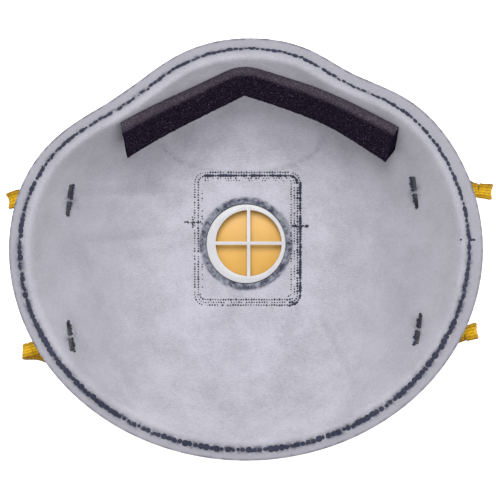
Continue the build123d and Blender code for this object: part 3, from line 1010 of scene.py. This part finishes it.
band = {"width": 4.8, "thickness": 1.3, "rootHeight": 41.0, "restGap": 0.4, "ribs": 5, "step": 0.42,
        "break": 0.45}
bandRoots = {"upper": ((-65.2, 15.6), (67.4, 17.2)), "lower": ((-62.0, -29.2), (63.4, -24.8))}
loopRoutes = {
    "upper": [(-69.4, 0.0), (-72.4, 4.2), (-69.2, 10.6), (-62.0, 21.5), (-50.5, 32.5), (-35.0, 42.5),
              (-15.0, 49.0),
              (8.0, 50.0), (30.0, 46.5), (47.5, 37.0), (60.0, 24.0), (68.6, 11.2), (72.2, 4.6), (69.2, 0.0)],
    "lower": [(-65.7, 0.0), (-68.6, 4.1), (-66.0, 10.2), (-60.0, 20.0), (-49.0, 31.0), (-33.5, 40.5),
              (-13.0, 45.6),
              (9.0, 44.2), (29.5, 41.0), (46.5, 32.5), (58.0, 20.8), (65.4, 10.4), (68.2, 4.0), (65.5, 0.0)],
}


# how the first and last points of each loop lie off the plane of the rest, in mm: it folds under the rim at
# once
foldUnder = {
    "upper": {0: (1.3, -0.4, 0.5), 1: (1.7, -4.5, 1.2), 2: (3.5, -7.5, 1.3), 3: (4.0, -6.0, 1.8),
              4: (2.0, -2.0, 0.5),
              9: (-2.0, -2.0, 0.9), 10: (-2.6, -5.7, 3.0), 11: (-3.2, -7.1, 1.8), 12: (-1.3, -3.6, 1.2),
              13: (-0.3, -0.2, 0.2)},
    "lower": {0: (1.5, -0.2, 0.3), 1: (2.3, 1.4, 1.3), 2: (4.6, 4.2, 0.7), 3: (3.8, 4.7, 2.0),
              4: (1.5, 2.0, 0.9),
              9: (-3.0, 2.4, 0.8), 10: (-4.6, 4.2, 1.5), 11: (-4.2, 4.6, 1.6), 12: (-1.4, 3.0, 1.0),
              13: (0.0, 0.5, 0.3)},
}


# middle of the line between a band's roots, the way along it, the way down to the table, and the width
def loopFrame(which):
    left, right = (Vector((x, y, band["rootHeight"])) for x, y in bandRoots[which])
    deepest = max(point[1] for point in loopRoutes[which])
    drop = (band["rootHeight"] - band["width"] / 2 * math.sin(math.radians(30)) - band["thickness"] / 2
            - band["restGap"])
    lean = math.acos(drop / deepest)
    along = (right - left).normalized()
    outward = 1 if which == "upper" else -1
    sideways = Vector((-along.y, along.x, 0)) * outward
    down = Vector((0, 0, -1)) * math.cos(lean) + sideways * math.sin(lean)
    return (left + right) / 2, along, down, along.cross(down).normalized()


# points of the smooth line through a route, in mm
def splinePoints(controls):
    curve = bpy.data.curves.new("bandRoute", "CURVE")
    curve.dimensions = "3D"
    spline = curve.splines.new("NURBS")
    spline.points.add(len(controls) - 1)
    for point, place in zip(spline.points, controls):
        point.co = (*(place * mm), 1)
    spline.order_u = 3
    spline.use_endpoint_u = True
    spline.resolution_u = 16
    holder = bpy.data.objects.new("bandRoute", curve)
    scene.collection.objects.link(holder)
    mesh = bpy.data.meshes.new_from_object(holder)
    points = [v.co / mm for v in mesh.vertices]
    bpy.data.objects.remove(holder)
    return points


def evenly(points, step):
    lengths = [0.0]
    for a, b in zip(points, points[1:]):
        lengths.append(lengths[-1] + (b - a).length)
    count = max(2, round(lengths[-1] / step))
    spaced, k = [], 0
    for n in range(count + 1):
        target = lengths[-1] * n / count
        while k < len(points) - 2 and lengths[k + 1] < target:
            k += 1
        gap = lengths[k + 1] - lengths[k]
        spaced.append(points[k].lerp(points[k + 1], (target - lengths[k]) / gap if gap else 0))
    return spaced, lengths[-1]


# flat braided band: ribs along it, crossed by a fine braid
def ribbon(name, points, widthWays):
    ribs, half, thick = band["ribs"], band["width"] / 2, band["thickness"] / 2
    across = 26
    ring = []
    for q in range(across + 1):
        ring.append((-half + 2 * half * q / across, 1))
    for q in range(across, -1, -1):
        ring.append((-half + 2 * half * q / across, -1))
    verts, acrossValues, grooveValues = [], [], []
    travelled = 0.0
    last = len(points) - 1
    for k, p in enumerate(points):
        ahead = (points[min(k + 1, last)] - points[max(k - 1, 0)]).normalized()
        if k:
            travelled += (p - points[k - 1]).length
        wide = (widthWays[k] - ahead * widthWays[k].dot(ahead)).normalized()
        flat = ahead.cross(wide)
        for u, side in ring:
            share = (u + half) / (2 * half)
            rib = abs(math.sin(math.pi * ribs * share))
            braid = math.sin(travelled * 2 * math.pi / 1.5
                             + side * (1 if int(share * ribs) % 2 else -1) * share * ribs * math.pi)
            edge = math.sqrt(max(0.0, 1 - abs(u / half) ** 6))
            height = (thick * (0.62 + 0.3 * rib) + 0.07 * braid * rib) * (0.25 + 0.75 * edge)
            verts.append((p + wide * u * (1 + 0.012 * braid) + flat * side * height) * mm)
            # painted shade: across runs from the band's middle to its darker edges, groove marks the hollows
            # between ribs and braid
            acrossValues.append(abs(u / half))
            grooveValues.append(max(0.0, 1 - rib * 1.5) * 0.8 + max(0.0, -braid) * 0.35)
    count = len(ring)
    faces = []
    for k in range(last):
        for q in range(count):
            n = (q + 1) % count
            faces.append((k * count + q, (k + 1) * count + q, (k + 1) * count + n, k * count + n))
    faces.append(tuple(range(count)))
    faces.append(tuple(last * count + q for q in range(count - 1, -1, -1)))
    piece = addMesh(name, verts, faces, elasticBraid)
    for label, values in (("across", acrossValues), ("groove", grooveValues)):
        layer = piece.data.attributes.new(label, "FLOAT", "POINT")
        layer.data.foreach_set("value", values)
    bm = bmesh.new()
    bm.from_mesh(piece.data)
    bmesh.ops.recalc_face_normals(bm, faces=bm.faces)
    bm.to_mesh(piece.data)
    bm.free()
    return piece


# point on the outside of the cup and the way out of it
def outerFrame(x, y):
    step = 1.0
    def height(px, py):
        return rayHeight(outsideTree, px, py, False)
    slopeX = (height(x + step, y) - height(x - step, y)) / (2 * step)
    slopeY = (height(x, y + step) - height(x, y - step)) / (2 * step)
    return Vector((x, y, height(x, y))), Vector((slopeX, slopeY, -1)).normalized()


def makeBand(which):
    middle, along, down, wide = loopFrame(which)
    left, right = (Vector((x, y, band["rootHeight"])) for x, y in bandRoots[which])
    halfSpan = (right - left).length / 2
    controls = [middle + along * u + down * s + Vector(foldUnder[which].get(k, (0, 0, 0)))
                for k, (u, s) in enumerate(loopRoutes[which])]
    controls.insert(0, left - along * band["break"])
    controls.append(right + along * band["break"])
    points, length = evenly(splinePoints(controls), band["step"])
    loop = ribbon("headband_" + which + "_free", points, [wide] * len(points))
    swinging = which + "_band"
    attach(loop, swinging)
    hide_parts("headband_" + which + "_loop")
    print(which, "band loop", round(length, 1), "mm")
    for side, root, tip in (("left", left, points[0]), ("right", right, points[-1])):
        (x, y), _ = stapleSpots[which + "_" + side]
        base, out = outerFrame(x, y)
        start = base + out * (0.45 + band["thickness"] / 2)
        towards = (root - start).normalized()
        flatRun = (towards - out * towards.dot(out)).normalized()
        controls = [start - flatRun * 4.0, start - flatRun * 1.5, start + flatRun * 1.2,
                    start.lerp(root, 0.45), start.lerp(root, 0.8), tip.copy()]
        line, _ = evenly(splinePoints(controls), band["step"])
        wallWide = out.cross(flatRun).normalized()
        rootWide = wide if wide.dot(wallWide) > 0 else -wide
        turned = [wallWide.lerp(rootWide, blend01(0.35, 1.0, k / (len(line) - 1))).normalized()
                  for k in range(len(line))]
        end = ribbon("headband_" + which + "_" + side, line, turned)
        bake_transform(end)
        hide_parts("headband_" + which + "_" + side + "_end")


for which in ("upper", "lower"):
    makeBand(which)
print("headbands made")
